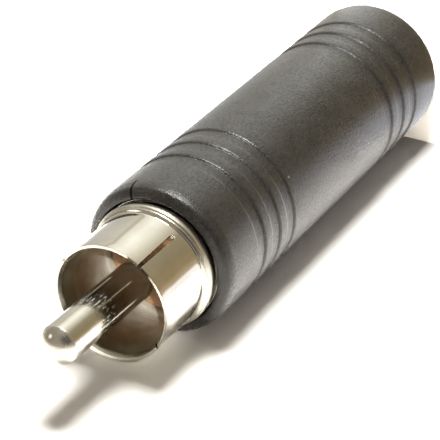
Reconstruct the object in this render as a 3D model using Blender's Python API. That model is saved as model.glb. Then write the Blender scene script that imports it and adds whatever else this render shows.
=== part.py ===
"""Quarter inch TRS socket to RCA plug adapter, standing on its socket end.

Axis along +Z, origin at the middle of the socket end face, pin pointing up.
Lengths are in metres; MM turns the millimetre figures below into metres.
"""

import math

import bmesh
import bpy
from mathutils import Matrix, Vector

MM = 0.001

# Fits and fineness
FIT = 0.1 * MM
SEGMENTS = 48
FINE_SEGMENTS = 24
ARC_STEPS = 6
SHARP_ANGLE = 35.0

# Barrel
BARREL_WALL = 1.05 * MM
NOSE_ROUND = 0.9 * MM
TAIL_ROUND = 1.2 * MM
TAIL_WALL = 1.5 * MM
MOUTH_CHAMFER = 0.12 * MM
GROOVE_COUNT = 3
GROOVE_PITCH = 2.45 * MM
GROOVE_WIDTH = 1.3 * MM
GROOVE_DEPTH = 0.15 * MM
GROOVE_SLOPE = 0.12 * MM
NOSE_GROOVE_SETBACK = 4.7 * MM
TAIL_GROOVE_SETBACK = 5.25 * MM

# Metal tube inside the barrel
TUBE_WALL = 0.3 * MM
TUBE_RECESS = 0.45 * MM

# RCA plug
SHELL_DIAMETER = 9.7 * MM
SHELL_WALL = 0.37 * MM
RIM_TAPER = 0.05 * MM
COLLAR_REACH = 0.4 * MM
COLLAR_HEIGHT = 1.2 * MM
COLLAR_LIFT = 0.05 * MM
COLLAR_PROFILE = ((0.35, 0.97), (0.8, 0.8), (1.0, 0.52), (1.0, 0.28), (0.75, 0.08))
STEP_SHIFT = 1 / 3
SLOT_COUNT = 4
SLOT_LENGTH = 4.85 * MM
SLOT_RIM_WIDTH = 0.2 * MM
SLOT_ROOT_WIDTH = 0.42 * MM
SLOT_ROOT_ROOM = 0.45 * MM
SLOT_ANGLE = 45.0
CURL_WIDTH = 0.75 * MM
INSULATOR_DROP = 0.55 * MM
INSULATOR_THICKNESS = 1.6 * MM
PIN_DIAMETER = 3.2 * MM
PIN_REACH = 7.5 * MM
PIN_TIP_RISE = 1.0 * MM
PIN_NECK_DIAMETER = 1.8 * MM
RIVET_HEAD_WIDTH = 0.6 * MM
RIVET_HEAD_HEIGHT = 0.45 * MM
RIVET_HEAD_ROUND = 0.3 * MM
LUG_BORDER = 1.1 * MM
LUG_THICKNESS = 0.3 * MM
LUG_TAB_WIDTH = 1.5 * MM
LUG_CURL_ROOM = 0.3 * MM

# Quarter inch socket
BORE_DIAMETER = 6.45 * MM
BUSHING_NOSE_WALL = 0.975 * MM
BUSHING_BODY_WALL = 0.775 * MM
BUSHING_FLANGE_HEIGHT = 1.3 * MM
BUSHING_LENGTH = 9.0 * MM
BUSHING_INSET = 0.15 * MM
BORE_CHAMFER = 0.35 * MM
BUSHING_CHAMFER = 0.12 * MM
CORE_RELIEF = 0.075 * MM
CORE_SKIN = 0.5 * MM
CARRIER_THICKNESS = 2.6 * MM

# Contact leaves
LEAF_THICKNESS = 0.3 * MM
LEAF_WIDTH = 2.2 * MM
LEAF_PINCH = 0.475 * MM
LEAF_RISE = 2.2 * MM
LEAF_LIP = 1.7 * MM
LEAF_CREST = 0.45 * MM
LEAF_SLOPE_IN = 0.66 * MM
LEAF_EASE_SHARE = 0.25
LEAF_TAB_HEIGHT = 1.1 * MM
POCKET_ROOM = 0.2 * MM
TIP_CONTACT_DEPTH = 28.2 * MM
TIP_ROOM = 0.9 * MM
RING_TO_TIP = 5.4 * MM
SLEEVE_SETBACK = 2.3 * MM
TIP_ANGLE = 90.0
RING_ANGLE = 270.0
SLEEVE_ANGLE = 0.0

# Wiring space
WIRING_HEIGHT = 2.55 * MM
LINER_WALL = 0.2 * MM
WIRE_DIAMETER = 0.6 * MM
SOLDER_DIAMETER = 1.0 * MM
SOLDER_HEIGHT = 0.7 * MM
SOLDER_PROFILE = ((0.22, 0.94), (0.4, 0.65), (0.5, 0.2), (0.46, 0.0))
WIRE_STEPS = 8
WIRE_SIDE_STEPS = 2
LUG_ANGLE = 180.0
SHELL_JOINT_ANGLE = 45.0

# Heights from the socket end face upwards, worked out from the sizes above
FLOOR = 0.0
TUBE_BOTTOM = TAIL_WALL + FIT
FLANGE_TOP = TUBE_BOTTOM + BUSHING_FLANGE_HEIGHT
CORE_BOTTOM = FLANGE_TOP + FIT
CORE_STEP = BUSHING_LENGTH + FIT
SLEEVE_CONTACT_DEPTH = BUSHING_LENGTH + SLEEVE_SETBACK + LEAF_LIP
RING_CONTACT_DEPTH = TIP_CONTACT_DEPTH - RING_TO_TIP
CORE_TOP = TIP_CONTACT_DEPTH + LEAF_RISE + TIP_ROOM
CARRIER_BOTTOM = CORE_TOP + FIT
CARRIER_TOP = CARRIER_BOTTOM + CARRIER_THICKNESS
TAB_TOP = CARRIER_TOP + LEAF_TAB_HEIGHT
RIVET_BOTTOM = CARRIER_TOP + WIRING_HEIGHT
RIVET_TOP = RIVET_BOTTOM + RIVET_HEAD_HEIGHT
LUG_BOTTOM = RIVET_TOP + FIT
LUG_TOP = LUG_BOTTOM + LUG_THICKNESS
INSULATOR_BOTTOM = LUG_TOP + FIT
INSULATOR_TOP = INSULATOR_BOTTOM + INSULATOR_THICKNESS
SHELL_BOTTOM = INSULATOR_BOTTOM - FIT - SHELL_WALL
NOSE_FACE = INSULATOR_TOP + INSULATOR_DROP
TUBE_TOP = NOSE_FACE - TUBE_RECESS
COLLAR_FOOT = NOSE_FACE + COLLAR_LIFT
COLLAR_TOP = COLLAR_FOOT + COLLAR_HEIGHT
SLOT_ROOT = COLLAR_TOP + SLOT_ROOT_ROOM
RIM = SLOT_ROOT + SLOT_LENGTH
PIN_END = RIM + PIN_REACH

# Radii worked out from the sizes above
BORE_RADIUS = BORE_DIAMETER / 2
BUSHING_NOSE_RADIUS = BORE_RADIUS + BUSHING_NOSE_WALL
BUSHING_BODY_RADIUS = BORE_RADIUS + BUSHING_BODY_WALL
CORE_BORE_RADIUS = BORE_RADIUS + CORE_RELIEF
SHELL_RADIUS = SHELL_DIAMETER / 2
SHELL_INNER_RADIUS = SHELL_RADIUS - SHELL_WALL
CURL_RADIUS = SHELL_INNER_RADIUS - CURL_WIDTH
TUBE_INNER_RADIUS = SHELL_RADIUS + FIT
TUBE_RADIUS = TUBE_INNER_RADIUS + TUBE_WALL
BARREL_BORE_RADIUS = TUBE_RADIUS + FIT
BARREL_RADIUS = BARREL_BORE_RADIUS + BARREL_WALL
LINING_RADIUS = TUBE_INNER_RADIUS - FIT
LEAF_SEAT_RADIUS = LINING_RADIUS - CORE_SKIN - POCKET_ROOM - LEAF_THICKNESS / 2
LEAF_CONTACT_RADIUS = BORE_RADIUS - LEAF_PINCH
PIN_RADIUS = PIN_DIAMETER / 2
PIN_NECK_RADIUS = PIN_NECK_DIAMETER / 2
NECK_HOLE_RADIUS = PIN_NECK_RADIUS + FIT
RIVET_HEAD_RADIUS = PIN_NECK_RADIUS + RIVET_HEAD_WIDTH
LUG_RADIUS = NECK_HOLE_RADIUS + LUG_BORDER
LUG_TAB_REACH = CURL_RADIUS - LUG_CURL_ROOM


def make_material(name, colour, roughness, metallic):
    material = bpy.data.materials.new(name)
    material.use_nodes = True
    shader = material.node_tree.nodes["Principled BSDF"]
    shader.inputs["Base Color"].default_value = (*colour, 1.0)
    shader.inputs["Roughness"].default_value = roughness
    shader.inputs["Metallic"].default_value = metallic
    material.diffuse_color = (*colour, 1.0)
    return material


def place_mesh(name, shape, material, smooth=True):
    bmesh.ops.recalc_face_normals(shape, faces=shape.faces)
    if shape.calc_volume(signed=True) < 0:
        bmesh.ops.reverse_faces(shape, faces=shape.faces)
    mesh = bpy.data.meshes.new(name)
    shape.to_mesh(mesh)
    shape.free()
    if smooth:
        mesh.shade_smooth()
        mesh.set_sharp_from_angle(angle=math.radians(SHARP_ANGLE))
    mesh.materials.append(material)
    thing = bpy.data.objects.new(name, mesh)
    bpy.context.collection.objects.link(thing)
    return thing


def arc(centre_radius, centre_height, radius, start, end, steps=ARC_STEPS):
    """Points (radius, height) on an arc in the half plane of a turned piece, angles in degrees."""
    points = []
    for index in range(steps + 1):
        angle = math.radians(start + (end - start) * index / steps)
        across = centre_radius + radius * math.cos(angle)
        height = centre_height + radius * math.sin(angle)
        points.append((across, height))
    return points


def turned_ring(name, section, material, segments=SEGMENTS):
    """A closed section (radius, height) turned once round the axis."""
    shape = bmesh.new()
    corners = [shape.verts.new((across, 0.0, height)) for across, height in section]
    edges = []
    for index, corner in enumerate(corners):
        edges.append(shape.edges.new((corners[index - 1], corner)))
    bmesh.ops.spin(
        shape,
        geom=corners + edges,
        axis=(0, 0, 1),
        cent=(0, 0, 0),
        angle=math.tau,
        steps=segments,
        use_merge=True,
    )
    return place_mesh(name, shape, material)


def turned_solid(name, outline, material, segments=SEGMENTS):
    """An outline that starts and ends on the axis, turned once round it."""
    shape = bmesh.new()
    corners = [shape.verts.new((across, 0.0, height)) for across, height in outline]
    edges = [shape.edges.new(pair) for pair in zip(corners, corners[1:])]
    bmesh.ops.spin(
        shape,
        geom=corners + edges,
        axis=(0, 0, 1),
        cent=(0, 0, 0),
        angle=math.tau,
        steps=segments,
        use_merge=True,
    )
    bmesh.ops.remove_doubles(shape, verts=shape.verts, dist=FIT / 100)
    return place_mesh(name, shape, material)


def prism(name, outline, depth, material, turn=0.0, smooth=False):
    """A flat outline (x, z) thickened along Y about the XZ plane and turned round the axis."""
    shape = bmesh.new()
    corners = [shape.verts.new((x, -depth / 2, z)) for x, z in outline]
    face = shape.faces.new(corners)
    grown = bmesh.ops.extrude_face_region(shape, geom=[face])
    moved = [item for item in grown["geom"] if isinstance(item, bmesh.types.BMVert)]
    bmesh.ops.translate(shape, verts=moved, vec=(0, depth, 0))
    bmesh.ops.rotate(
        shape,
        verts=shape.verts,
        cent=(0, 0, 0),
        matrix=Matrix.Rotation(math.radians(turn), 3, "Z"),
    )
    return place_mesh(name, shape, material, smooth)


def box_outline(low_x, high_x, low_z, high_z):
    return [(low_x, low_z), (high_x, low_z), (high_x, high_z), (low_x, high_z)]


def cut_away(thing, cutter):
    cutter.hide_render = True
    cutter.display_type = "WIRE"
    modifier = thing.modifiers.new(cutter.name, "BOOLEAN")
    modifier.operation = "DIFFERENCE"
    modifier.solver = "EXACT"
    modifier.object = cutter


def groove_points(top_edges):
    """Section points of the outer wall's grooves, each given by its upper edge, downwards."""
    floor_radius = BARREL_RADIUS - GROOVE_DEPTH
    points = []
    for top in top_edges:
        bottom = top - GROOVE_WIDTH
        points.append((BARREL_RADIUS, top))
        points.append((floor_radius, top - GROOVE_SLOPE))
        points.append((floor_radius, bottom + GROOVE_SLOPE))
        points.append((BARREL_RADIUS, bottom))
    return points


def build_barrel(material):
    """The moulded housing: one sleeve with two sets of grip grooves and rounded ends."""
    hole_radius = BUSHING_NOSE_RADIUS + FIT
    nose_round = min(NOSE_ROUND, BARREL_WALL - MOUTH_CHAMFER)
    tail_round = min(TAIL_ROUND, BARREL_RADIUS - hole_radius - MOUTH_CHAMFER)
    nose_tops = []
    tail_tops = []
    for index in range(GROOVE_COUNT):
        nose_tops.append(NOSE_FACE - NOSE_GROOVE_SETBACK - index * GROOVE_PITCH)
        lifted = (GROOVE_COUNT - 1 - index) * GROOVE_PITCH
        tail_tops.append(TAIL_GROOVE_SETBACK + GROOVE_WIDTH + lifted)
    nose_centre = (BARREL_RADIUS - nose_round, NOSE_FACE - nose_round)
    tail_centre = (BARREL_RADIUS - tail_round, FLOOR + tail_round)
    section = []
    section.append((BARREL_BORE_RADIUS, TAIL_WALL))
    section.append((BARREL_BORE_RADIUS, NOSE_FACE - MOUTH_CHAMFER))
    section.append((BARREL_BORE_RADIUS + MOUTH_CHAMFER, NOSE_FACE))
    section.extend(arc(*nose_centre, nose_round, 90, 0))
    section.extend(groove_points(nose_tops))
    section.extend(groove_points(tail_tops))
    section.extend(arc(*tail_centre, tail_round, 0, -90))
    section.append((hole_radius + MOUTH_CHAMFER, FLOOR))
    section.append((hole_radius, MOUTH_CHAMFER))
    section.append((hole_radius, TAIL_WALL))
    return turned_ring("barrel", section, material)


def build_ground_tube(material):
    """The thin plated tube under the barrel; its upper edge shows as a bright ring in the nose."""
    section = [
        (TUBE_INNER_RADIUS, TUBE_BOTTOM),
        (TUBE_INNER_RADIUS, TUBE_TOP),
        (TUBE_RADIUS, TUBE_TOP),
        (TUBE_RADIUS, TUBE_BOTTOM),
    ]
    return turned_ring("ground_tube", section, material)


def shell_side(inset):
    """One side of the drawn shell from rim to skirt, lying inset inside the outer face."""
    shift = inset * STEP_SHIFT
    side = [
        (SHELL_RADIUS - RIM_TAPER - inset, RIM - SHELL_WALL / 2),
        (SHELL_RADIUS - inset, SLOT_ROOT),
        (SHELL_RADIUS - inset, COLLAR_TOP + shift),
    ]
    for outward, upward in COLLAR_PROFILE:
        crest_radius = SHELL_RADIUS + COLLAR_REACH * outward
        side.append((crest_radius - inset, COLLAR_FOOT + COLLAR_HEIGHT * upward))
    side.append((SHELL_RADIUS - inset, COLLAR_FOOT - shift))
    return side


def build_rca_shell(material):
    """The drawn outer contact: rolled collar, four slots and a lower edge curled under the disc."""
    outer = shell_side(0.0)
    inner = shell_side(SHELL_WALL)
    rim_centre = SHELL_RADIUS - RIM_TAPER - SHELL_WALL / 2
    rim = arc(rim_centre, RIM - SHELL_WALL / 2, SHELL_WALL / 2, 180, 0)
    curl_centre = (SHELL_INNER_RADIUS, SHELL_BOTTOM + SHELL_WALL)
    section = list(reversed(inner))
    section.extend(rim[1:-1])
    section.extend(outer)
    section.extend(arc(*curl_centre, SHELL_WALL, 0, -90))
    section.append((CURL_RADIUS, SHELL_BOTTOM))
    section.append((CURL_RADIUS, SHELL_BOTTOM + SHELL_WALL))
    section.append((SHELL_INNER_RADIUS, SHELL_BOTTOM + SHELL_WALL))
    shell = turned_ring("rca_shell", section, material)
    root = SLOT_ROOT + SLOT_ROOT_WIDTH / 2
    above = RIM + SHELL_WALL
    outline = [(-SLOT_RIM_WIDTH / 2, above)]
    outline.extend(arc(0.0, root, SLOT_ROOT_WIDTH / 2, 180, 360))
    outline.append((SLOT_RIM_WIDTH / 2, above))
    for index in range(SLOT_COUNT):
        turn = SLOT_ANGLE + index * 360.0 / SLOT_COUNT
        cutter = slot_cutter(f"slot_cut_{index + 1}", outline, turn, material)
        cut_away(shell, cutter)
    return shell


def slot_cutter(name, outline, turn, material):
    """A tongue through one side of the shell wall only, at the given angle."""
    inside = SHELL_INNER_RADIUS - SHELL_WALL - RIM_TAPER
    outside = SHELL_RADIUS + SHELL_WALL
    shape = bmesh.new()
    corners = [shape.verts.new((inside, across, height)) for across, height in outline]
    face = shape.faces.new(corners)
    grown = bmesh.ops.extrude_face_region(shape, geom=[face])
    moved = [item for item in grown["geom"] if isinstance(item, bmesh.types.BMVert)]
    bmesh.ops.translate(shape, verts=moved, vec=(outside - inside, 0, 0))
    bmesh.ops.rotate(
        shape,
        verts=shape.verts,
        cent=(0, 0, 0),
        matrix=Matrix.Rotation(math.radians(turn), 3, "Z"),
    )
    return place_mesh(name, shape, material, smooth=False)


def build_rca_insulator(material):
    """The punched laminate disc that carries the pin inside the shell."""
    disc_radius = SHELL_INNER_RADIUS - FIT
    section = [
        (NECK_HOLE_RADIUS, INSULATOR_BOTTOM),
        (NECK_HOLE_RADIUS, INSULATOR_TOP),
        (disc_radius, INSULATOR_TOP),
        (disc_radius, INSULATOR_BOTTOM),
    ]
    return turned_ring("rca_insulator", section, material)


def build_centre_pin(material):
    """The turned pin: domed tip, plain stem, neck through disc and lug, riveted head below."""
    stem_bottom = INSULATOR_TOP + FIT
    dome_radius = (PIN_RADIUS**2 + PIN_TIP_RISE**2) / (2 * PIN_TIP_RISE)
    dome_centre = PIN_END - dome_radius
    shoulder_angle = math.degrees(math.asin(1.0 - PIN_TIP_RISE / dome_radius))
    outline = arc(0.0, dome_centre, dome_radius, 90, shoulder_angle)
    outline.append((PIN_RADIUS, stem_bottom))
    outline.append((PIN_NECK_RADIUS, stem_bottom))
    outline.append((PIN_NECK_RADIUS, RIVET_TOP))
    outline.append((RIVET_HEAD_RADIUS, RIVET_TOP))
    outline.append((RIVET_HEAD_RADIUS - RIVET_HEAD_ROUND / 2, RIVET_BOTTOM + RIVET_HEAD_ROUND / 2))
    outline.append((RIVET_HEAD_RADIUS - RIVET_HEAD_ROUND * 2, RIVET_BOTTOM))
    outline.append((0.0, RIVET_BOTTOM))
    return turned_solid("centre_pin", outline, material)


def build_pin_lug(material):
    """The stamped solder lug clamped between disc and rivet head, with one tab."""
    half_tab = LUG_TAB_WIDTH / 2
    start = math.asin(half_tab / LUG_RADIUS)
    shape = bmesh.new()
    rim = []
    for index in range(FINE_SEGMENTS + 1):
        angle = math.pi + start + (math.tau - 2 * start) * index / FINE_SEGMENTS
        rim.append((LUG_RADIUS * math.cos(angle), LUG_RADIUS * math.sin(angle)))
    rim.append((-LUG_TAB_REACH, half_tab))
    rim.append((-LUG_TAB_REACH, -half_tab))
    corners = [shape.verts.new((x, y, LUG_BOTTOM)) for x, y in rim]
    face = shape.faces.new(corners)
    grown = bmesh.ops.extrude_face_region(shape, geom=[face])
    moved = [item for item in grown["geom"] if isinstance(item, bmesh.types.BMVert)]
    bmesh.ops.translate(shape, verts=moved, vec=(0, 0, LUG_THICKNESS))
    lug = place_mesh("pin_lug", shape, material, smooth=False)
    drill_outline = [
        (0.0, LUG_TOP + LUG_THICKNESS),
        (NECK_HOLE_RADIUS, LUG_TOP + LUG_THICKNESS),
        (NECK_HOLE_RADIUS, LUG_BOTTOM - LUG_THICKNESS),
        (0.0, LUG_BOTTOM - LUG_THICKNESS),
    ]
    cut_away(lug, turned_solid("lug_hole_cut", drill_outline, material, FINE_SEGMENTS))
    return lug


def build_socket_bushing(material):
    """The turned mouth of the socket: it guides the plug and makes its sleeve contact."""
    section = [
        (BORE_RADIUS + BORE_CHAMFER, BUSHING_INSET),
        (BORE_RADIUS, BUSHING_INSET + BORE_CHAMFER),
        (BORE_RADIUS, BUSHING_LENGTH - BUSHING_CHAMFER),
        (BORE_RADIUS + BUSHING_CHAMFER, BUSHING_LENGTH),
        (BUSHING_BODY_RADIUS, BUSHING_LENGTH),
        (BUSHING_BODY_RADIUS, FLANGE_TOP),
        (LINING_RADIUS, FLANGE_TOP),
        (LINING_RADIUS, TUBE_BOTTOM),
        (BUSHING_NOSE_RADIUS, TUBE_BOTTOM),
        (BUSHING_NOSE_RADIUS, BUSHING_INSET + BUSHING_CHAMFER),
        (BUSHING_NOSE_RADIUS - BUSHING_CHAMFER, BUSHING_INSET),
    ]
    return turned_ring("socket_bushing", section, material)


def leaf_pocket(name, contact_depth, turn, material):
    """The pocket in the core's bore wall that one contact leaf springs in, open at the top."""
    half_leaf = LEAF_THICKNESS / 2
    outer = LEAF_SEAT_RADIUS + half_leaf + POCKET_ROOM
    inner = CORE_BORE_RADIUS / 2
    bottom = contact_depth - LEAF_LIP - 2 * POCKET_ROOM
    top = CORE_TOP + CARRIER_THICKNESS
    outline = box_outline(inner, outer, bottom, top)
    return prism(name, outline, LEAF_WIDTH + 2 * POCKET_ROOM, material, turn)


def build_jack_core(material):
    """The moulded insulating body of the socket, counterbored over the bushing."""
    counterbore_radius = BUSHING_BODY_RADIUS + FIT
    section = [
        (counterbore_radius, CORE_BOTTOM),
        (counterbore_radius, CORE_STEP),
        (CORE_BORE_RADIUS, CORE_STEP),
        (CORE_BORE_RADIUS, CORE_TOP),
        (LINING_RADIUS, CORE_TOP),
        (LINING_RADIUS, CORE_BOTTOM),
    ]
    core = turned_ring("jack_core", section, material)
    pockets = (
        ("tip_pocket_cut", TIP_CONTACT_DEPTH, TIP_ANGLE),
        ("ring_pocket_cut", RING_CONTACT_DEPTH, RING_ANGLE),
        ("sleeve_pocket_cut", SLEEVE_CONTACT_DEPTH, SLEEVE_ANGLE),
    )
    for name, depth, turn in pockets:
        cut_away(core, leaf_pocket(name, depth, turn, material))
    return core


def build_contact_carrier(material):
    """The disc that closes the socket behind the plug tip and grips the three leaf tails."""
    outline = [
        (0.0, CARRIER_TOP),
        (LINING_RADIUS, CARRIER_TOP),
        (LINING_RADIUS, CARRIER_BOTTOM),
        (0.0, CARRIER_BOTTOM),
    ]
    carrier = turned_solid("contact_carrier", outline, material)
    half_slot = LEAF_THICKNESS / 2 + FIT
    low = CARRIER_BOTTOM - CARRIER_THICKNESS
    high = CARRIER_TOP + CARRIER_THICKNESS
    slot = box_outline(LEAF_SEAT_RADIUS - half_slot, LEAF_SEAT_RADIUS + half_slot, low, high)
    slots = (
        ("tip_slot_cut", TIP_ANGLE),
        ("ring_slot_cut", RING_ANGLE),
        ("sleeve_slot_cut", SLEEVE_ANGLE),
    )
    for name, turn in slots:
        cut_away(carrier, prism(name, slot, LEAF_WIDTH + 2 * FIT, material, turn))
    return carrier


def strip_outline(path, thickness):
    """Outline of a bent strip: its centre line moved half a thickness to each side."""
    left = []
    right = []
    for index, point in enumerate(path):
        here = Vector(point)
        before = Vector(path[max(index - 1, 0)])
        after = Vector(path[min(index + 1, len(path) - 1)])
        way_in = here - before if index else after - here
        way_out = after - here if index < len(path) - 1 else way_in
        normal_in = Vector((-way_in.y, way_in.x)).normalized()
        normal_out = Vector((-way_out.y, way_out.x)).normalized()
        middle = (normal_in + normal_out).normalized()
        reach = thickness / 2 / middle.dot(normal_in)
        left.append(tuple(here + middle * reach))
        right.append(tuple(here - middle * reach))
    return left + list(reversed(right))


def build_leaf(name, contact_depth, turn, material):
    """One contact leaf: solder tab, straight spring, rounded contact crest and turned-out lip."""
    crest = LEAF_CONTACT_RADIUS + LEAF_THICKNESS / 2
    ease = (LEAF_SEAT_RADIUS - crest) * LEAF_EASE_SHARE
    path = [
        (LEAF_SEAT_RADIUS, TAB_TOP),
        (LEAF_SEAT_RADIUS, contact_depth + LEAF_RISE),
        (crest + ease, contact_depth + LEAF_SLOPE_IN),
        (crest, contact_depth + LEAF_CREST / 2),
        (crest, contact_depth - LEAF_CREST / 2),
        (crest + ease, contact_depth - LEAF_SLOPE_IN),
        (LEAF_SEAT_RADIUS - ease, contact_depth - LEAF_LIP),
    ]
    outline = strip_outline(path, LEAF_THICKNESS)
    return prism(name, outline, LEAF_WIDTH, material, turn)


def build_liner(material):
    """The insulating paper sleeve that keeps the joints off the metal tube."""
    section = [
        (LINING_RADIUS - LINER_WALL, CARRIER_TOP + FIT),
        (LINING_RADIUS - LINER_WALL, SHELL_BOTTOM - FIT),
        (LINING_RADIUS, SHELL_BOTTOM - FIT),
        (LINING_RADIUS, CARRIER_TOP + FIT),
    ]
    return turned_ring("insulating_sleeve", section, material)


def polar(radius, angle, height):
    turn = math.radians(angle)
    return (radius * math.cos(turn), radius * math.sin(turn), height)


def build_wire(name, start, end, material):
    """A short bare wire that swings round the axis from one joint to another."""
    curve = bpy.data.curves.new(name, "CURVE")
    curve.dimensions = "3D"
    curve.bevel_depth = WIRE_DIAMETER / 2
    curve.bevel_resolution = WIRE_SIDE_STEPS
    curve.use_fill_caps = True
    run = curve.splines.new("POLY")
    run.points.add(WIRE_STEPS)
    for index in range(WIRE_STEPS + 1):
        share = index / WIRE_STEPS
        ease = share * share * (3 - 2 * share)
        radius = start[0] + (end[0] - start[0]) * share
        angle = start[1] + (end[1] - start[1]) * share
        height = start[2] + (end[2] - start[2]) * ease
        run.points[index].co = (*polar(radius, angle, height), 1.0)
    curve.materials.append(material)
    wire = bpy.data.objects.new(name, curve)
    bpy.context.collection.objects.link(wire)
    return wire


def build_solder(name, radius, angle, low, material):
    """One solder joint: a low rounded bead standing on its tab."""
    outline = [(0.0, low + SOLDER_HEIGHT)]
    for outward, upward in SOLDER_PROFILE:
        outline.append((SOLDER_DIAMETER * outward, low + SOLDER_HEIGHT * upward))
    outline.append((0.0, low))
    bead = turned_solid(name, outline, material, FINE_SEGMENTS)
    across = polar(radius, angle, 0.0)
    bead.data.transform(Matrix.Translation(across))
    return bead


def build_wiring(wire_material, solder_material):
    """Tip to pin, ring to sleeve, and sleeve to the RCA shell."""
    inner_face = LEAF_SEAT_RADIUS - LEAF_THICKNESS / 2
    joint_radius = inner_face - FIT - SOLDER_DIAMETER / 2
    joint_base = CARRIER_TOP + FIT
    wire_half = WIRE_DIAMETER / 2
    wire_height = joint_base + SOLDER_HEIGHT / 2
    aside = math.degrees((SOLDER_DIAMETER / 2 + wire_half / 2 + FIT) / joint_radius)
    build_solder("tip_solder", joint_radius, TIP_ANGLE, joint_base, solder_material)
    build_solder("ring_solder", joint_radius, RING_ANGLE, joint_base, solder_material)
    build_solder("sleeve_solder", joint_radius, SLEEVE_ANGLE, joint_base, solder_material)
    lug_radius = LUG_TAB_REACH - SOLDER_DIAMETER / 2
    lug_base = LUG_BOTTOM - FIT - SOLDER_HEIGHT
    build_solder("lug_solder", lug_radius, LUG_ANGLE, lug_base, solder_material)
    build_wire(
        "tip_lead",
        (joint_radius, TIP_ANGLE + aside, wire_height),
        (lug_radius, LUG_ANGLE - aside, lug_base + SOLDER_HEIGHT / 2),
        wire_material,
    )
    build_wire(
        "ring_link",
        (joint_radius, RING_ANGLE + aside, wire_height),
        (joint_radius, 360.0 + SLEEVE_ANGLE - aside, wire_height),
        wire_material,
    )
    shell_joint_radius = LINING_RADIUS - LINER_WALL - FIT - SOLDER_DIAMETER / 2
    shell_base = SHELL_BOTTOM - FIT - SOLDER_HEIGHT
    build_solder("shell_solder", shell_joint_radius, SHELL_JOINT_ANGLE, shell_base, solder_material)
    build_wire(
        "ground_lead",
        (joint_radius, SLEEVE_ANGLE + aside, wire_height),
        (shell_joint_radius, SHELL_JOINT_ANGLE - aside, shell_base + SOLDER_HEIGHT / 2),
        wire_material,
    )


for stale in list(bpy.data.objects):
    bpy.data.objects.remove(stale)

black_plastic = make_material("barrel_plastic", (0.055, 0.053, 0.05), 0.45, 0.0)
nickel = make_material("nickel_plate", (0.66, 0.63, 0.57), 0.18, 1.0)
laminate = make_material("brown_laminate", (0.2, 0.085, 0.045), 0.55, 0.0)
core_plastic = make_material("core_plastic", (0.03, 0.03, 0.03), 0.5, 0.0)
bronze = make_material("spring_bronze", (0.6, 0.42, 0.2), 0.3, 1.0)
liner_paper = make_material("liner_paper", (0.45, 0.4, 0.3), 0.8, 0.0)
tinned_wire = make_material("tinned_wire", (0.7, 0.68, 0.64), 0.35, 1.0)
solder = make_material("solder_grey", (0.55, 0.56, 0.57), 0.4, 1.0)

build_barrel(black_plastic)
build_ground_tube(nickel)
build_rca_shell(nickel)
build_rca_insulator(laminate)
build_centre_pin(nickel)
build_pin_lug(nickel)
build_socket_bushing(nickel)
build_jack_core(core_plastic)
build_contact_carrier(core_plastic)
build_leaf("tip_spring", TIP_CONTACT_DEPTH, TIP_ANGLE, bronze)
build_leaf("ring_spring", RING_CONTACT_DEPTH, RING_ANGLE, bronze)
build_leaf("sleeve_spring", SLEEVE_CONTACT_DEPTH, SLEEVE_ANGLE, bronze)
build_liner(liner_paper)
build_wiring(tinned_wire, solder)
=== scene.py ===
import math

import bmesh
import bpy
from mathutils import Matrix, Vector


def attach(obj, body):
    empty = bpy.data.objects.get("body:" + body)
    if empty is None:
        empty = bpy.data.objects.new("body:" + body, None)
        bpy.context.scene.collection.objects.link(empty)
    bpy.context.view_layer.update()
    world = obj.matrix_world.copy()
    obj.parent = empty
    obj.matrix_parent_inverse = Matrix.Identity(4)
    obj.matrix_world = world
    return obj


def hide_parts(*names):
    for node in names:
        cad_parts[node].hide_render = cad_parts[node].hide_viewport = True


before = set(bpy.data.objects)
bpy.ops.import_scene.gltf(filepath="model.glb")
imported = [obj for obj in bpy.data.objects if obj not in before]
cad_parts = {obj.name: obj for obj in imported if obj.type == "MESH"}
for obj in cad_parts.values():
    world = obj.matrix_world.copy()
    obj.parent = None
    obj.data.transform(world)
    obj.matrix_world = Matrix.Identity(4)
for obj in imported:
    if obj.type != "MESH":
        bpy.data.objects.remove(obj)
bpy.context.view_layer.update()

MM = 0.001

# Camera
# It looks down on the plug end as in the photograph, where the adapter lies on a table. Here it stands on its
# socket end, so the camera is turned with it and sees it the same way.
camera_place = Vector((0.061257, -0.079245, 0.14648))
camera_right = Vector((-0.18123, -0.85572, -0.4848))
camera_up = Vector((0.89641, 0.05910, -0.4394))
camera_back = camera_right.cross(camera_up)
lens = bpy.data.cameras.new("camera")
lens.lens = 156.5
lens.sensor_width = 36.0
lens.clip_start = 0.01
lens.clip_end = 20.0
camera = bpy.data.objects.new("camera", lens)
camera.matrix_world = Matrix((
    (camera_right.x, camera_up.x, camera_back.x, camera_place.x),
    (camera_right.y, camera_up.y, camera_back.y, camera_place.y),
    (camera_right.z, camera_up.z, camera_back.z, camera_place.z),
    (0.0, 0.0, 0.0, 1.0),
))
bpy.context.scene.collection.objects.link(camera)
bpy.context.scene.camera = camera
bpy.context.scene.view_settings.view_transform = "Standard"

# Studio
# A pale floor, and a white board against the adapter's side that takes the soft shadow of the photographed
# table. The cards show only as reflections: the room, its ceiling, a dark doorway and a window. One soft lamp
# throws that shadow, and two narrow ones shine into the plug's mouth.
board_out = Vector((0.9785, -0.2062, 0.0))
upright = Vector((0.0, 0.0, 1.0))
sideways = Vector((0.0, 1.0, 0.0))
board_gap = 6.41 * MM
floor_size = 4.0


def made_node(tree, kind, inputs=None, **settings):
    """Adds a shader node; each input takes a plain value or the output that feeds it."""
    node = tree.nodes.new(kind)
    for name, value in settings.items():
        setattr(node, name, value)
    for name, value in (inputs or {}).items():
        if isinstance(value, bpy.types.NodeSocket):
            tree.links.new(value, node.inputs[name])
        else:
            node.inputs[name].default_value = value
    return node


def maths(tree, operation, *values):
    return made_node(tree, "ShaderNodeMath", dict(enumerate(values)), operation=operation).outputs[0]


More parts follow.
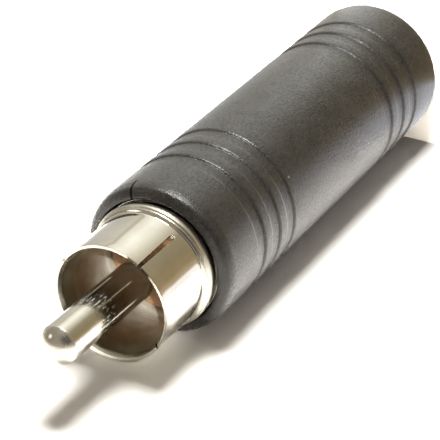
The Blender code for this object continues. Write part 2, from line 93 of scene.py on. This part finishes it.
def between(tree, amount, low, high, at_low, at_high):
    """Turns the range from low to high into the one from at_low to at_high, and holds it there."""
    limits = {"From Min": low, "From Max": high, "To Min": at_low, "To Max": at_high}
    return made_node(tree, "ShaderNodeMapRange", {"Value": amount, **limits}).outputs["Result"]


def seen_directly(tree):
    """1 for the camera, metal and glass, 0 for the light that a thing throws on its neighbours."""
    path = made_node(tree, "ShaderNodeLightPath").outputs
    shiny = maths(tree, "MAXIMUM", path["Is Glossy Ray"], path["Is Transmission Ray"])
    either = maths(tree, "MAXIMUM", path["Is Camera Ray"], shiny)
    first = between(tree, path["Diffuse Depth"], 0.0, 1.0, 1.0, 0.22)
    return maths(tree, "MULTIPLY", either, first)


def colour_steps(tree, amount, stops):
    """A colour ramp; each stop is (position, colour)."""
    ramp = made_node(tree, "ShaderNodeValToRGB", {"Fac": amount})
    while len(ramp.color_ramp.elements) < len(stops):
        ramp.color_ramp.elements.new(0.5)
    for element, (position, colour) in zip(ramp.color_ramp.elements, stops):
        element.position = position
        element.color = (*colour, 1.0)
    return ramp.outputs["Color"]


def white_paper(name, shown, one_sided):
    """Matt white paper; shown is how bright the camera and the metal see it, above the light it throws back."""
    paper = bpy.data.materials.new(name)
    paper.use_nodes = True
    tree = paper.node_tree
    tree.nodes.clear()
    level = between(tree, seen_directly(tree), 0.0, 1.0, 0.4, shown)
    tint = made_node(
        tree, "ShaderNodeVectorMath", {0: (1.0, 0.985, 0.96), "Scale": level}, operation="SCALE"
    ).outputs["Vector"]
    face = made_node(tree, "ShaderNodeBsdfDiffuse", {"Color": tint}).outputs[0]
    if one_sided:
        side = made_node(tree, "ShaderNodeNewGeometry").outputs["Backfacing"]
        clear = made_node(tree, "ShaderNodeBsdfTransparent").outputs[0]
        face = made_node(tree, "ShaderNodeMixShader", {0: side, 1: face, 2: clear}).outputs[0]
    made_node(tree, "ShaderNodeOutputMaterial", {"Surface": face})
    return paper


def stage_card(name, middle, out, up, width, height, material):
    """A flat stage card facing out."""
    across = up.cross(out).normalized()
    upward = out.cross(across).normalized()
    card = bmesh.new()
    bmesh.ops.create_grid(card, x_segments=1, y_segments=1, size=0.5)
    place = Matrix((
        (across.x * width, upward.x * height, out.x, middle.x),
        (across.y * width, upward.y * height, out.y, middle.y),
        (across.z * width, upward.z * height, out.z, middle.z),
        (0.0, 0.0, 0.0, 1.0),
    ))
    bmesh.ops.transform(card, matrix=place, verts=card.verts)
    mesh = bpy.data.meshes.new(name)
    card.to_mesh(mesh)
    card.free()
    mesh.materials.append(material)
    thing = bpy.data.objects.new(name, mesh)
    bpy.context.scene.collection.objects.link(thing)
    return thing


def glow_in_metal(name, colour):
    """Paint that glows for metal and gloss alone; colour is a plain one, or stops round the upright axis."""
    paint = bpy.data.materials.new(name)
    paint.use_nodes = True
    tree = paint.node_tree
    tree.nodes.clear()
    if isinstance(colour[0], tuple):
        place = made_node(tree, "ShaderNodeTexCoord").outputs["Object"]
        around = made_node(
            tree, "ShaderNodeTexGradient", {"Vector": place}, gradient_type="RADIAL"
        ).outputs["Fac"]
        tone = colour_steps(tree, around, [(0.5 + angle / 360.0, tone) for angle, tone in colour])
    else:
        tone = (*colour, 1.0)
    glow = made_node(tree, "ShaderNodeEmission", {"Color": tone, "Strength": seen_directly(tree)})
    made_node(tree, "ShaderNodeOutputMaterial", {"Surface": glow.outputs[0]})
    return paint


def room_part(card):
    """Leaves a card to be seen in metal and gloss alone."""
    card.visible_camera = False
    card.visible_diffuse = False
    card.visible_shadow = False
    card.visible_transmission = False


stage_card(
    "floor", Vector((0.0, 0.0, 0.0)), upright, sideways, floor_size, floor_size,
    white_paper("floor_paper", 9.0, False)
)
stage_card(
    "white_board", upright * 0.3 - board_out * board_gap, board_out, upright, 0.9, 0.6,
    white_paper("board_paper", 2.6, True)
)
room_tones = (
    (-103.0, (1.60, 1.59, 1.66)),
    (-99.0, (0.74, 0.60, 0.42)),
    (-88.0, (0.46, 0.36, 0.21)),
    (-68.0, (0.42, 0.345, 0.215)),
    (-44.0, (0.47, 0.42, 0.30)),
    (-26.0, (0.95, 0.90, 0.75)),
    (-8.0, (1.45, 1.43, 1.32)),
    (5.0, (1.60, 1.60, 1.50)),
    (23.0, (1.20, 1.17, 1.05)),
    (26.0, (0.78, 0.73, 0.64)),
    (29.0, (0.78, 0.73, 0.64)),
    (33.0, (0.93, 0.89, 0.79)),
    (45.0, (0.85, 0.82, 0.74)),
    (70.0, (0.76, 0.75, 0.72)),
    (83.0, (0.85, 0.84, 0.82)),
    (92.0, (1.52, 1.53, 1.58)),
)
room_part(stage_card(
    "room_card", Vector((0.0, 0.0, 0.3 * MM)), upright, sideways, floor_size, floor_size,
    glow_in_metal("room_paint", room_tones)
))
dome = bmesh.new()
bmesh.ops.create_uvsphere(dome, u_segments=48, v_segments=24, radius=1.7)
below_floor = [vert for vert in dome.verts if vert.co.z < -0.01]
bmesh.ops.delete(dome, geom=below_floor, context="VERTS")
dome_mesh = bpy.data.meshes.new("room_dome")
dome.to_mesh(dome_mesh)
dome.free()
dome_mesh.materials.append(glow_in_metal("dome_paint", (0.42, 0.375, 0.31)))
dome_card = bpy.data.objects.new("room_dome", dome_mesh)
bpy.context.scene.collection.objects.link(dome_card)
room_part(dome_card)
for name, middle, width, height, tone in (
    ("doorway", Vector((0.28, -0.53, 0.54)), 0.62, 0.55, (0.10, 0.085, 0.08)),
    ("window", Vector((0.53, 0.57, 0.63)), 0.2, 0.2, (4.0, 3.9, 3.7)),
):
    room_part(stage_card(
        f"{name}_card", middle, -middle.normalized(), upright, width, height,
        glow_in_metal(f"{name}_paint", tone)
    ))

soft_light = bpy.data.lights.new("soft_light", "AREA")
soft_light.shape = "DISK"
soft_light.size = 0.055
soft_light.energy = 0.15
soft_light.color = (1.0, 0.98, 0.95)
soft_lamp = bpy.data.objects.new("soft_light", soft_light)
soft_lamp.location = board_out * 0.13 + upright * 0.027
soft_lamp.rotation_euler = board_out.to_track_quat("Z", "Y").to_euler()
bpy.context.scene.collection.objects.link(soft_lamp)

mouth = Vector((0.0, 0.0, 43.0 * MM))
lamp_distance = 0.3
for name, way, power in (
    ("mouth_light", Vector((0.45, -0.58, 0.68)), 4.3),
    ("disc_light", Vector((0.05, 0.0, 1.0)), 1.0),
):
    way.normalize()
    mouth_light = bpy.data.lights.new(name, "SPOT")
    mouth_light.energy = power
    mouth_light.color = (1.0, 0.96, 0.86)
    mouth_light.shadow_soft_size = 0.003
    mouth_light.spot_size = math.radians(1.6)
    mouth_light.spot_blend = 0.3
    mouth_lamp = bpy.data.objects.new(name, mouth_light)
    mouth_lamp.visible_glossy = False
    mouth_lamp.location = mouth + way * lamp_distance
    mouth_lamp.rotation_euler = way.to_track_quat("Z", "Y").to_euler()
    bpy.context.scene.collection.objects.link(mouth_lamp)


def height_of(tree, place):
    return made_node(tree, "ShaderNodeSeparateXYZ", {0: place}).outputs["Z"]


sky = bpy.data.worlds.new("soft_room")
sky.use_nodes = True
tree = sky.node_tree
tree.nodes.clear()
height = height_of(tree, made_node(tree, "ShaderNodeTexCoord").outputs["Generated"])
level = between(tree, height, 0.82, 0.97, 0.07, 1.0)
warm = (1.0, 0.89, 0.75, 1.0)
thrown = made_node(tree, "ShaderNodeBackground", {"Color": warm, "Strength": level}).outputs[0]
white = made_node(tree, "ShaderNodeBackground", {"Color": (1.0, 1.0, 1.0, 1.0), "Strength": 1.0}).outputs[0]
both = made_node(tree, "ShaderNodeMixShader", {0: seen_directly(tree), 1: thrown, 2: white}).outputs[0]
made_node(tree, "ShaderNodeOutputWorld", {"Surface": both})
bpy.context.scene.world = sky

# Socket bushing
# The turned brass mouth of the quarter inch socket, nickel plated. Its flange is held between the end wall of
# the barrel and the moulded core, and its lead-in chamfer guides the plug.


def turned(name, corners, steps, closed):
    """A section turned once round the axis; each corner is (radius, height, rounding) in millimetres."""
    shape = bmesh.new()
    points = [shape.verts.new((radius * MM, 0.0, height * MM)) for radius, height, rounding in corners]
    for index in range(len(points) - 1):
        shape.edges.new((points[index], points[index + 1]))
    if closed:
        shape.edges.new((points[-1], points[0]))
    for point, corner in zip(points, corners):
        if corner[2] > 0.0:
            bmesh.ops.bevel(
                shape, geom=[point], offset=corner[2] * MM, offset_type="OFFSET", segments=5, profile=0.5,
                affect="VERTICES", material=-1
            )
    bmesh.ops.spin(
        shape, geom=shape.verts[:] + shape.edges[:], axis=(0, 0, 1), cent=(0, 0, 0), angle=math.tau,
        steps=steps, use_merge=True
    )
    bmesh.ops.remove_doubles(shape, verts=shape.verts, dist=0.0005 * MM)
    bmesh.ops.recalc_face_normals(shape, faces=shape.faces)
    outward = 0.0
    for face in shape.faces:
        middle = face.calc_center_median()
        outward += face.calc_area() * (face.normal.x * middle.x + face.normal.y * middle.y)
    if outward < 0.0:
        bmesh.ops.reverse_faces(shape, faces=shape.faces)
    return shape


def finished_piece(name, shape, material, node, sharp=40.0):
    """Makes the shape an object in place of a CAD node; edges past the sharp angle stay crisp."""
    mesh = bpy.data.meshes.new(name)
    shape.to_mesh(mesh)
    shape.free()
    mesh.shade_smooth()
    mesh.set_sharp_from_angle(angle=math.radians(sharp))
    mesh.materials.append(material)
    piece = bpy.data.objects.new(name, mesh)
    bpy.context.scene.collection.objects.link(piece)
    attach(piece, "root")
    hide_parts(node)
    return piece


def finish_of(name, metallic):
    """An empty finish and what its nodes start from: its tree, its shader and the place on the piece."""
    finish = bpy.data.materials.new(name)
    finish.use_nodes = True
    tree = finish.node_tree
    shader = tree.nodes["Principled BSDF"]
    shader.inputs["Metallic"].default_value = metallic
    place = made_node(tree, "ShaderNodeTexCoord").outputs["Object"]
    return finish, tree, shader, place


def noise(tree, place, scale, detail, stretch=(1.0, 1.0, 1.0)):
    """Noise on the piece; a small stretch along an axis draws it out that way."""
    if stretch != (1.0, 1.0, 1.0):
        place = made_node(tree, "ShaderNodeMapping", {"Vector": place, "Scale": stretch}).outputs["Vector"]
    return made_node(
        tree, "ShaderNodeTexNoise", {"Vector": place, "Scale": scale, "Detail": detail}
    ).outputs["Fac"]


def relief(tree, shader, height, depth, strength):
    """Fine relief over any that is there already; its depth is in millimetres."""
    inputs = {"Height": height, "Distance": depth * MM, "Strength": strength}
    if shader.inputs["Normal"].is_linked:
        inputs["Normal"] = shader.inputs["Normal"].links[0].from_socket
    bump = made_node(tree, "ShaderNodeBump", inputs).outputs["Normal"]
    tree.links.new(bump, shader.inputs["Normal"])
    return bump


def bright_nickel(name, tint, roughness, along):
    """Bright nickel plate with fine marks along or round the axis and faint handling haze."""
    plate, tree, shader, place = finish_of(name, 1.0)
    marks = noise(tree, place, 9000.0, 3.0, (1.0, 1.0, 0.02) if along else (0.05, 0.05, 1.0))
    haze = noise(tree, place, 420.0, 5.0)
    dull = tuple(part * share for part, share in zip(tint, (0.9, 0.89, 0.86)))
    tree.links.new(colour_steps(tree, haze, [(0.35, dull), (0.65, tint)]), shader.inputs["Base Color"])
    tree.links.new(between(tree, haze, 0.3, 0.7, roughness * 0.7, roughness * 1.5), shader.inputs["Roughness"])
    relief(tree, shader, marks, 0.002, 0.25)
    return plate


turned_nickel = bright_nickel("turned_nickel", (0.61, 0.585, 0.525), 0.16, False)
bushing_corners = (
    (3.575, 0.15, 0.04),
    (3.225, 0.5, 0.06),
    (3.225, 8.88, 0.04),
    (3.345, 9.0, 0.03),
    (4.0, 9.0, 0.05),
    (4.0, 2.9, 0.0),
    (4.85, 2.9, 0.05),
    (4.85, 1.6, 0.05),
    (4.2, 1.6, 0.0),
    (4.2, 0.27, 0.04),
    (4.08, 0.15, 0.04),
)
bushing = turned("bushing", bushing_corners, 128, True)
finished_piece("turned_socket_bushing", bushing, turned_nickel, "socket_bushing")

# Socket core and contact carrier
# The insulating body of the socket and the disc that closes it behind the plug's tip. Both are moulded in
# hard black plastic, dull and faintly streaked where it flowed.


def two_tone(tree, shader, amount, dark, pale, rough_dark, rough_pale):
    """Lets a pattern take the colour and the roughness from one tone to the other."""
    tree.links.new(colour_steps(tree, amount, [(0.3, dark), (0.7, pale)]), shader.inputs["Base Color"])
    tree.links.new(between(tree, amount, 0.3, 0.7, rough_dark, rough_pale), shader.inputs["Roughness"])


def dress(nodes, finish):
    """Puts a finish on pieces whose CAD shape stays."""
    for node in nodes:
        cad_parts[node].data.materials[0] = finish


core_black, tree, shader, place = finish_of("moulded_core_black", 0.0)
flow = noise(tree, place, 350.0, 6.0, (1.0, 1.0, 0.3))
grain = noise(tree, place, 9000.0, 2.0)
two_tone(tree, shader, flow, (0.022, 0.022, 0.022), (0.04, 0.039, 0.038), 0.4, 0.6)
relief(tree, shader, grain, 0.01, 0.5)
dress(("jack_core", "contact_carrier"), core_black)

# Contact leaves
# Three leaves of rolled spring bronze, one each for the plug's tip, ring and sleeve. Each is crested to press on
# the plug and ends in a solder tab. Their rolling marks run along the strip.
spring_bronze, tree, shader, place = finish_of("rolled_spring_bronze", 1.0)
rolling = noise(tree, place, 8000.0, 3.0, (1.0, 1.0, 0.03))
tarnish_and_painted_shade = noise(tree, place, 700.0, 5.0)
two_tone(tree, shader, tarnish_and_painted_shade, (0.42, 0.27, 0.11), (0.62, 0.44, 0.21), 0.42, 0.24)
relief(tree, shader, rolling, 0.004, 0.5)
dress(("tip_spring", "ring_spring", "sleeve_spring"), spring_bronze)

# Wires and solder
# Three short tinned copper wires join the leaves to the pin's lug and to the shell. Dull grey solder holds each
# end, frosted where it set.
tinned, tree, shader, place = finish_of("tinned_copper", 1.0)
tinning = noise(tree, place, 2600.0, 5.0)
two_tone(tree, shader, tinning, (0.56, 0.53, 0.48), (0.74, 0.72, 0.69), 0.42, 0.24)
relief(tree, shader, tinning, 0.01, 0.5)
dress(("tip_lead", "ring_link", "ground_lead"), tinned)
solder, tree, shader, place = finish_of("set_solder", 1.0)
crystals = made_node(tree, "ShaderNodeTexVoronoi", {"Vector": place, "Scale": 7000.0}).outputs["Distance"]
frost = noise(tree, place, 1500.0, 4.0)
two_tone(tree, shader, frost, (0.44, 0.45, 0.46), (0.6, 0.61, 0.62), 0.34, 0.55)
relief(tree, shader, crystals, 0.01, 0.4)
dress(("tip_solder", "ring_solder", "sleeve_solder", "lug_solder", "shell_solder"), solder)

# Ground tube
# A thin drawn tube, nickel plated, that lines the barrel from the bushing to the plug end and joins the
# sleeve contact to the shell. Only its rounded upper edge shows, as a bright ring in the barrel's nose.
tube_corners = (
    (4.95, 1.6, 0.0),
    (4.95, 39.2, 0.1),
    (5.25, 39.2, 0.12),
    (5.25, 1.6, 0.0),
)
drawn_nickel = bright_nickel("drawn_nickel", (0.62, 0.595, 0.535), 0.1, True)
tube = turned("tube", tube_corners, 160, True)
finished_piece("drawn_ground_tube", tube, drawn_nickel, "ground_tube")

# Insulating sleeve
# A turn of stiff brown paper inside the tube, which keeps the wires and the pin's lug clear of it. It is cut
# from sheet and rolled, and springs out against the tube.
paper, tree, shader, place = finish_of("stiff_paper", 0.0)
fibres = noise(tree, place, 5000.0, 6.0, (1.0, 1.0, 0.35))
paper_tones = [(0.3, (0.36, 0.31, 0.22)), (0.7, (0.52, 0.47, 0.36))]
tree.links.new(colour_steps(tree, fibres, paper_tones), shader.inputs["Base Color"])
shader.inputs["Roughness"].default_value = 0.85
relief(tree, shader, fibres, 0.02, 0.5)
dress(("insulating_sleeve",), paper)

# Disc
# The insulator of the plug, punched from brown phenolic laminate. The pin is riveted through its middle and
# the lower edge of the shell is curled under it.
disc_corners = (
    (1.0, 37.5, 0.0),
    (1.0, 39.1, 0.03),
    (4.38, 39.1, 0.06),
    (4.38, 37.5, 0.05),
)
laminate, tree, shader, place = finish_of("brown_laminate", 0.0)
fibres = noise(tree, place, 2600.0, 6.0)
laminate_tones = [(0.3, (0.36, 0.19, 0.10)), (0.7, (0.62, 0.365, 0.215))]
tree.links.new(colour_steps(tree, fibres, laminate_tones), shader.inputs["Base Color"])
shader.inputs["Roughness"].default_value = 0.5
relief(tree, shader, fibres, 0.01, 0.4)
disc = turned("disc", disc_corners, 128, True)
finished_piece("laminate_disc", disc, laminate, "rca_insulator")

# Pin lug
# A flat lug stamped from tinned brass, clamped between the disc and the pin's riveted head. The wire from the
# tip leaf is soldered to it.
dress(("pin_lug",), bright_nickel("tinned_lug", (0.66, 0.64, 0.6), 0.3, False))

# Centre pin
# A turned brass pin, nickel plated, with a domed tip. Its neck passes through the disc and the solder lug and
# is riveted over below. Use has bent it a little to one side and scuffed it where it enters the shell.
pin_radius = 1.6
neck_radius = 0.9
pin_end = 53.7
pin_shoulder = 39.2
dome_rise = 1.0
dome_radius = (pin_radius**2 + dome_rise**2) / (2 * dome_rise)
dome_turn = math.asin(pin_radius / dome_radius)
dome_steps = 10
pin_corners = []
for index in range(dome_steps):
    turn = dome_turn * index / dome_steps
    pin_corners.append((dome_radius * math.sin(turn), pin_end - dome_radius * (1 - math.cos(turn)), 0.0))
pin_corners += [
    (pin_radius, pin_end - dome_rise, 0.05),
    (pin_radius, pin_shoulder, 0.05),
    (neck_radius, pin_shoulder, 0.0),
    (neck_radius, 37.0, 0.0),
    (1.5, 37.0, 0.06),
    (1.38, 36.65, 0.12),
    (0.9, 36.55, 0.2),
    (0.0, 36.55, 0.0),
]
pin = turned("pin", pin_corners, 96, False)
slack = 0.01 * MM
pin_foot = Vector((0.0, 0.0, pin_shoulder * MM))
bmesh.ops.rotate(
    pin,
    verts=[vert for vert in pin.verts if vert.co.z > pin_foot.z - slack],
    cent=pin_foot,
    matrix=Matrix.Rotation(math.radians(-1.5), 3, board_out),
)
pin_nickel = bright_nickel("pin_nickel", (0.64, 0.62, 0.56), 0.11, True)


def opened(finish):
    """What more nodes need of a finish that is made already."""
    tree = finish.node_tree
    shader = tree.nodes["Principled BSDF"]
    return tree, shader, made_node(tree, "ShaderNodeTexCoord").outputs["Object"]


tree, shader, place = opened(pin_nickel)
height = height_of(tree, place)
polished = shader.inputs["Roughness"].links[0].from_socket
turned_tip = between(tree, height, 52.2 * MM, 53.0 * MM, 0.0, 0.15)
scuffed_zone = maths(
    tree, "MULTIPLY",
    between(tree, height, 46.4 * MM, 48.2 * MM, 0.0, 1.0), between(tree, height, 50.2 * MM, 48.9 * MM, 0.0, 1.0)
)
scuffs = noise(tree, place, 5200.0, 4.0, (1.0, 1.0, 0.35))
scuffing = maths(tree, "MULTIPLY", scuffed_zone, between(tree, scuffs, 0.5, 0.66, 0.0, 1.0))
rough = maths(tree, "MULTIPLY_ADD", scuffing, 0.3, maths(tree, "ADD", polished, turned_tip))
tree.links.new(rough, shader.inputs["Roughness"])
relief(tree, shader, scuffing, 0.003, 0.6)
finished_piece("turned_centre_pin", pin, pin_nickel, "centre_pin")

# Plug shell
# The outer contact, drawn from one thin brass tube and nickel plated. It has a rolled collar, four sawn slots
# that let its tines grip a socket, and a lower edge curled under the disc. Its inside is dull with blotches of
# tarnish, and has painted light and shade: its colour is light deep down by the disc and dark up at the rim,
# with a painted highlight on the band just inside the rim.
shell_radius = 4.85
shell_foot = 37.03
curl = 0.6
rim_height = 46.25
root_centre = 41.56
shell_rows = (
    (4.92, rim_height, 0.0),
    (4.87, 45.95, 0.0),
    *((shell_radius, height, 0.0) for height in (45.5, 44.8, 44.0, 43.2, 42.4, 41.9, root_centre, 41.25, 41.0)),
    (4.86, 40.8, 0.1),
    (5.03, 40.69, 0.05),
    (5.12, 40.57, 0.05),
    (5.06, 40.46, 0.03),
    (5.2, 40.36, 0.05),
    (5.25, 40.1, 0.12),
    (5.2, 39.75, 0.12),
    (4.98, 39.6, 0.06),
    (shell_radius, 39.5, 0.06),
    (shell_radius, 38.6, 0.0),
    (shell_radius, shell_foot, curl),
    (3.73, shell_foot, 0.0),
)
slot_count = 4
columns = 192
slot_side_columns = 4
root_half = 0.2
rim_half = 0.16
quarter = columns // slot_count
shell = turned("shell", shell_rows, columns, False)
slot_place = {}
for vert in shell.verts:
    radius = math.hypot(vert.co.x, vert.co.y)
    height = vert.co.z / MM
    column = round(math.atan2(vert.co.y, vert.co.x) / math.tau * columns) % columns
    from_slot = (column + quarter) % quarter - quarter // 2
    slot_angle = math.tau * (column - from_slot) / columns
    slot_place[vert] = (from_slot, height)
    share = min(max((height - root_centre) / (rim_height - root_centre), 0.0), 1.0)
    half_angle = (root_half + (rim_half - root_half) * share) / shell_radius
    if abs(from_slot) <= slot_side_columns:
        turn = half_angle * from_slot / slot_side_columns
    else:
        rest = (abs(from_slot) - slot_side_columns) / (quarter // 2 - slot_side_columns)
        turn = math.copysign(half_angle + (math.pi / slot_count - half_angle) * rest, from_slot)
    if abs(height - root_centre) < slack / MM and abs(from_slot) < slot_side_columns:
        round_turn = math.pi * (from_slot + slot_side_columns) / (2 * slot_side_columns)
        turn = -root_half * math.cos(round_turn) / shell_radius
        height -= root_half * math.sin(round_turn)
    angle = slot_angle + turn
    vert.co = (radius * math.cos(angle), radius * math.sin(angle), height * MM)
cut_faces = []
for face in shell.faces:
    in_slot = all(abs(slot_place[vert][0]) <= slot_side_columns for vert in face.verts)
    above = all(slot_place[vert][1] > root_centre - slack / MM for vert in face.verts)
    if in_slot and above:
        cut_faces.append(face)
bmesh.ops.delete(shell, geom=cut_faces, context="FACES")
plain_wall = 0.37
collar_thickening = 0.6
lip_wall = 0.27
lip_uneven = 0.07
thin_lip_way = math.radians(-52.0)
lip_lean = 0.09
lip_lean_way = math.radians(150.0)
curl_middle = Vector((shell_radius - curl, shell_foot + curl))
inner_vert = {}
for vert in shell.verts[:]:
    radius = math.hypot(vert.co.x, vert.co.y) / MM
    height = vert.co.z / MM
    inner_radius, inner_height = radius - plain_wall, height
    if height > rim_height - slack / MM:
        azimuth = math.atan2(vert.co.y, vert.co.x)
        leaning = radius + lip_lean * math.cos(azimuth - lip_lean_way)
        vert.co.x *= leaning / radius
        vert.co.y *= leaning / radius
        radius = leaning
        inner_radius = radius - lip_wall + lip_uneven * math.cos(azimuth - thin_lip_way)
    elif height > curl_middle.y:
        inner_radius -= collar_thickening * max(radius - shell_radius, 0.0)
    elif radius > curl_middle.x:
        from_middle = Vector((radius, height)) - curl_middle
        inner_radius, inner_height = curl_middle + from_middle * (curl - plain_wall) / curl
    else:
        inner_radius, inner_height = radius, height + plain_wall
    share = inner_radius / radius
    inner_vert[vert] = shell.verts.new((vert.co.x * share, vert.co.y * share, inner_height * MM))
outer_faces = shell.faces[:]
open_edges = [edge for edge in shell.edges if len(edge.link_faces) == 1]
for face in outer_faces:
    inner_face = shell.faces.new([inner_vert[vert] for vert in reversed(face.verts[:])])
    inner_face.material_index = 1
for edge in open_edges:
    for corner in edge.link_loops:
        first, second = corner.vert, corner.link_loop_next.vert
    shell.faces.new((second, first, inner_vert[first], inner_vert[second]))
shell_nickel = bright_nickel("shell_nickel", (0.64, 0.615, 0.55), 0.05, True)
plug_shell = finished_piece("drawn_plug_shell", shell, shell_nickel, "rca_shell", 60.0)
tree, shader, place = opened(shell_nickel)
height = height_of(tree, place)
polished = shader.inputs["Roughness"].links[0].from_socket
rolled = between(tree, height, 40.5 * MM, 40.9 * MM, 0.24, 0.0)
tree.links.new(maths(tree, "ADD", polished, rolled), shader.inputs["Roughness"])
rolling = noise(tree, place, 9000.0, 2.0, (0.04, 0.04, 0.9))
on_collar = between(tree, height, 40.6 * MM, 40.8 * MM, 1.0, 0.0)
relief(tree, shader, maths(tree, "MULTIPLY", rolling, on_collar), 0.02, 0.8)


def lightened(tree, amount, tint, below):
    """Adds a share of a tint to the colour below it."""
    return made_node(
        tree, "ShaderNodeVectorMath", {0: amount, 1: tint, 2: below}, operation="MULTIPLY_ADD"
    ).outputs["Vector"]


inside_nickel, tree, shader, place = finish_of("shell_inside_nickel", 1.0)
height = height_of(tree, place)
blotches = noise(tree, place, 900.0, 5.0)
blotching = between(tree, blotches, 0.3, 0.7, -0.12, 0.12)
# The inside's colour is painted light and shade: light cream deep down by the disc, dark grey up at the rim,
# with random blotches of tarnish. Deep down it is also less metallic.
shade = maths(tree, "ADD", between(tree, height, 39.3 * MM, 44.5 * MM, 0.0, 1.0), blotching)
painted_light_and_shade_tones = [(0.0, (0.93, 0.94, 0.86)), (0.35, (0.84, 0.84, 0.74)), (1.0, (0.32, 0.32, 0.26))]
tarnish_and_painted_shade = colour_steps(tree, shade, painted_light_and_shade_tones)
# Painted highlight: a pale band is added to the colour just inside the rim.
painted_lip_highlight = between(tree, height, (rim_height - 0.42) * MM, (rim_height - 0.3) * MM, 0.0, 1.0)
tree.links.new(lightened(tree, painted_lip_highlight, (0.28, 0.26, 0.24), tarnish_and_painted_shade), shader.inputs["Base Color"])
tree.links.new(between(tree, shade, 0.0, 1.0, 0.6, 0.28), shader.inputs["Roughness"])
tree.links.new(between(tree, shade, 0.0, 0.7, 0.4, 1.0), shader.inputs["Metallic"])
relief(tree, shader, blotches, 0.003, 0.4)
plug_shell.data.materials.append(inside_nickel)
edges = plug_shell.modifiers.new("edges", "BEVEL")
edges.limit_method = "ANGLE"
edges.angle_limit = math.radians(50.0)
edges.width = 0.06 * MM
edges.segments = 2

# Barrel
# The housing, moulded over the tube in black plastic with a fine satin grain. Two sets of three grip grooves
# run round it, both ends are rounded, and the mould's parting line crosses the nose as a painted line of shade.
# Edges are rubbed smoother where it is held, and a little dust clings to it.
outer = 6.4
bore = 5.35
tail_bore = 4.3
tail_wall = 1.5
nose_height = 39.65
nose_groove_top = nose_height - 4.7
tail_groove_foot = 5.25
groove_width = 1.3
groove_pitch = 2.45
groove_depth = 0.15
groove_edges = []
barrel_corners = [
    (bore, tail_wall, 0.0),
    (bore, nose_height, 0.08),
    (bore + 0.22, nose_height, 0.08),
    (outer - 0.22, nose_height - 0.25, 0.3),
    (outer, nose_height - 1.0, 0.3),
]
for first in (nose_groove_top, tail_groove_foot + groove_width + 2 * groove_pitch):
    for index in range(3):
        top = first - index * groove_pitch
        bottom = top - groove_width
        barrel_corners += [
            (outer, top, 0.1),
            (outer - groove_depth, top - 0.2, 0.1),
            (outer - groove_depth, bottom + 0.05, 0.04),
            (outer, bottom - 0.1, 0.16),
        ]
        groove_edges.append(bottom)
barrel_corners += [(outer, 0.0, 1.2), (tail_bore, 0.0, 0.1), (tail_bore, tail_wall, 0.0)]
satin, tree, shader, place = finish_of("satin_black_plastic", 0.0)
shader.inputs["Coat IOR"].default_value = 1.3
cloud = noise(tree, place, 600.0, 6.0)
fine = noise(tree, place, 4200.0, 3.0)
mottle = maths(
    tree, "ADD", between(tree, cloud, 0.3, 0.7, 0.0, 0.4), between(tree, fine, 0.4, 0.6, 0.0, 0.6)
)
height = height_of(tree, place)


def reach_along(tree, place, way):
    """How far out the place lies along a level way."""
    level_way = (math.cos(way), math.sin(way), 0.0)
    return made_node(
        tree, "ShaderNodeVectorMath", {0: place, 1: level_way}, operation="DOT_PRODUCT"
    ).outputs["Value"]


# The parting line is painted shade: a thin near black line over the nose, with no coat and little specular on
# it.
parting_way = math.radians(9.5)
beside = maths(tree, "ABSOLUTE", reach_along(tree, place, parting_way + math.radians(90.0)))
ahead = reach_along(tree, place, parting_way)
elsewhere = maths(
    tree, "MAXIMUM",
    between(tree, height, 38.0 * MM, 38.4 * MM, 1.0, 0.0), between(tree, ahead, 0.0, 0.1 * MM, 1.0, 0.0)
)
off_parting_shade = maths(tree, "MAXIMUM", between(tree, beside, 0.07 * MM, 0.13 * MM, 0.0, 1.0), elsewhere)
black_tones = [(0.0, (0.003, 0.003, 0.003)), (0.1, (0.014, 0.013, 0.012)), (0.9, (0.058, 0.055, 0.050))]
plastic_black = colour_steps(tree, maths(tree, "MULTIPLY", mottle, off_parting_shade), black_tones)
cells = made_node(tree, "ShaderNodeTexVoronoi", {"Vector": place, "Scale": 900.0}).outputs
chance = made_node(tree, "ShaderNodeSeparateColor", {0: cells["Color"]}).outputs["Red"]
dust = maths(
    tree, "MULTIPLY",
    between(tree, chance, 0.93, 0.94, 0.0, 1.0), between(tree, cells["Distance"], 0.07, 0.12, 1.0, 0.0)
)
tree.links.new(lightened(tree, dust, (0.30, 0.28, 0.25), plastic_black), shader.inputs["Base Color"])
tree.links.new(off_parting_shade, shader.inputs["Coat Weight"])
tree.links.new(between(tree, off_parting_shade, 0.0, 1.0, 0.05, 0.35), shader.inputs["Specular IOR Level"])
rubbed = between(tree, height, (nose_height - 1.3) * MM, (nose_height - 1.0) * MM, 0.0, 0.5)
rubbed_side = between(tree, reach_along(tree, place, math.radians(-28.0)), 5.9 * MM, 6.2 * MM, 0.0, 1.0)
for edge in groove_edges[:3]:
    at_edge = maths(tree, "COMPARE", height, edge * MM, 0.14 * MM)
    rubbed = maths(tree, "MAXIMUM", rubbed, maths(tree, "MULTIPLY", at_edge, rubbed_side))
dull = between(tree, fine, 0.35, 0.65, 0.5, 0.24)
tree.links.new(maths(tree, "MULTIPLY_ADD", rubbed, -0.14, dull), shader.inputs["Roughness"])
tree.links.new(between(tree, rubbed, 0.0, 1.0, 0.34, 0.16), shader.inputs["Coat Roughness"])
grain = noise(tree, place, 7500.0, 1.5)
bump = relief(tree, shader, grain, 0.042, 0.9)
tree.links.new(bump, shader.inputs["Coat Normal"])
barrel = turned("barrel", barrel_corners, 192, True)
finished_piece("moulded_barrel", barrel, satin, "barrel", 50.0)
